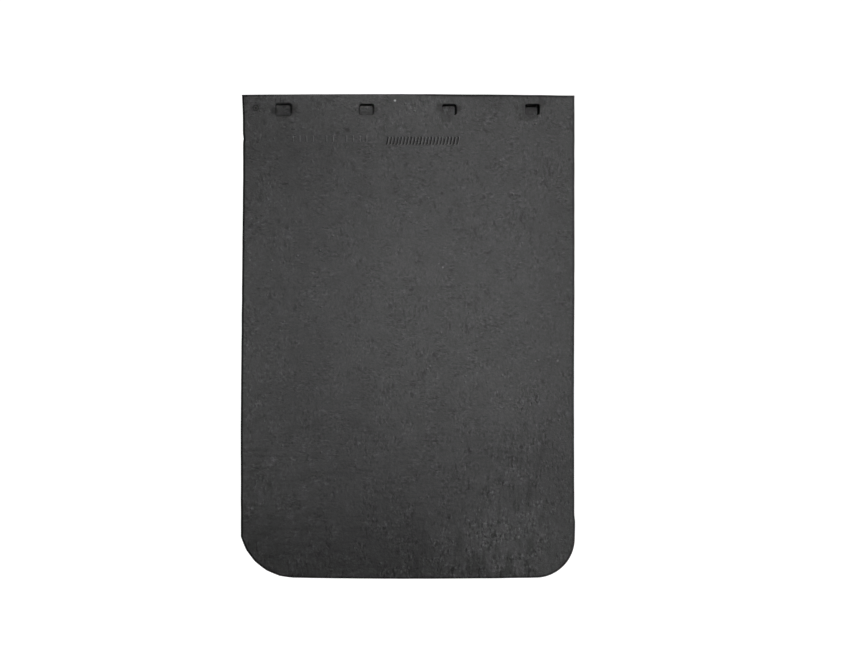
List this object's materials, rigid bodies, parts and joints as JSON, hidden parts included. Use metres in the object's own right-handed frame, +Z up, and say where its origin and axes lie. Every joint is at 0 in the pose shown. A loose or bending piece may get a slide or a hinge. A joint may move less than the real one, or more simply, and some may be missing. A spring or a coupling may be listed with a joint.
{
  "type": "mud flap",
  "caption": "Flat moulded rubber mud flap with round lower corners, hung from a row of rectangular bolt slots along its top edge and free to bend back and forward.",
  "frame": {"origin": "middle of the row of four slots, on the rear face of the mounting band, which the bracket's face meets", "axes": "+X across the flap, to the right when its front face is seen; +Y out of the rear face; +Z up, from the hanging edge to the slots"},
  "size_m": [0.3048, 0.0069, 0.4445],
  "materials": {
    "sheet_rubber": "matt moulded rubber with short fibre mottling and fine dust specks",
    "skin_rubber": "matt moulded rubber, slightly rough flash",
    "mark_rubber": "matt moulded rubber, tops slightly polished"
  },
  "bodies": {
    "band": {"mounting_band": "sheet_rubber", "slot_skin_1": "skin_rubber", "slot_skin_2": "skin_rubber", "slot_skin_3": "skin_rubber", "slot_skin_4": "skin_rubber", "hatch_mark": "mark_rubber", "dash_mark": "mark_rubber", "cavity_mark": "mark_rubber"},
    "panel_1": {"flap_panel_1": "sheet_rubber"},
    "panel_2": {"flap_panel_2": "sheet_rubber"},
    "panel_3": {"flap_panel_3": "sheet_rubber"},
    "panel_4": {"flap_panel_4": "sheet_rubber"},
    "panel_5": {"flap_panel_5": "sheet_rubber"},
    "panel_6": {"flap_panel_6": "sheet_rubber"},
    "panel_7": {"flap_panel_7": "sheet_rubber"},
    "panel_8": {"flap_panel_8": "sheet_rubber"}
  },
  "joints": [
    {"name": "flex_1", "type": "hinge", "parent": "band", "child": "panel_1", "pos_m": [0, -0.00317, -0.036], "axis": [1, 0, 0], "range_deg": [-20, 20], "stiffness_Nm_per_rad": 1.11},
    {"name": "flex_2", "type": "hinge", "parent": "panel_1", "child": "panel_2", "pos_m": [0, -0.00317, -0.08528], "axis": [1, 0, 0], "range_deg": [-10, 10], "stiffness_Nm_per_rad": 1.06},
    {"name": "flex_3", "type": "hinge", "parent": "panel_2", "child": "panel_3", "pos_m": [0, -0.00317, -0.13455], "axis": [1, 0, 0], "range_deg": [-10, 10], "stiffness_Nm_per_rad": 1.06},
    {"name": "flex_4", "type": "hinge", "parent": "panel_3", "child": "panel_4", "pos_m": [0, -0.00317, -0.18382], "axis": [1, 0, 0], "range_deg": [-10, 10], "stiffness_Nm_per_rad": 1.06},
    {"name": "flex_5", "type": "hinge", "parent": "panel_4", "child": "panel_5", "pos_m": [0, -0.00317, -0.2331], "axis": [1, 0, 0], "range_deg": [-10, 10], "stiffness_Nm_per_rad": 1.06},
    {"name": "flex_6", "type": "hinge", "parent": "panel_5", "child": "panel_6", "pos_m": [0, -0.00317, -0.28237], "axis": [1, 0, 0], "range_deg": [-10, 10], "stiffness_Nm_per_rad": 1.06},
    {"name": "flex_7", "type": "hinge", "parent": "panel_6", "child": "panel_7", "pos_m": [0, -0.00317, -0.33165], "axis": [1, 0, 0], "range_deg": [-10, 10], "stiffness_Nm_per_rad": 1.06},
    {"name": "flex_8", "type": "hinge", "parent": "panel_7", "child": "panel_8", "pos_m": [0, -0.00317, -0.38093], "axis": [1, 0, 0], "range_deg": [-10, 10], "stiffness_Nm_per_rad": 1.06}
  ]
}
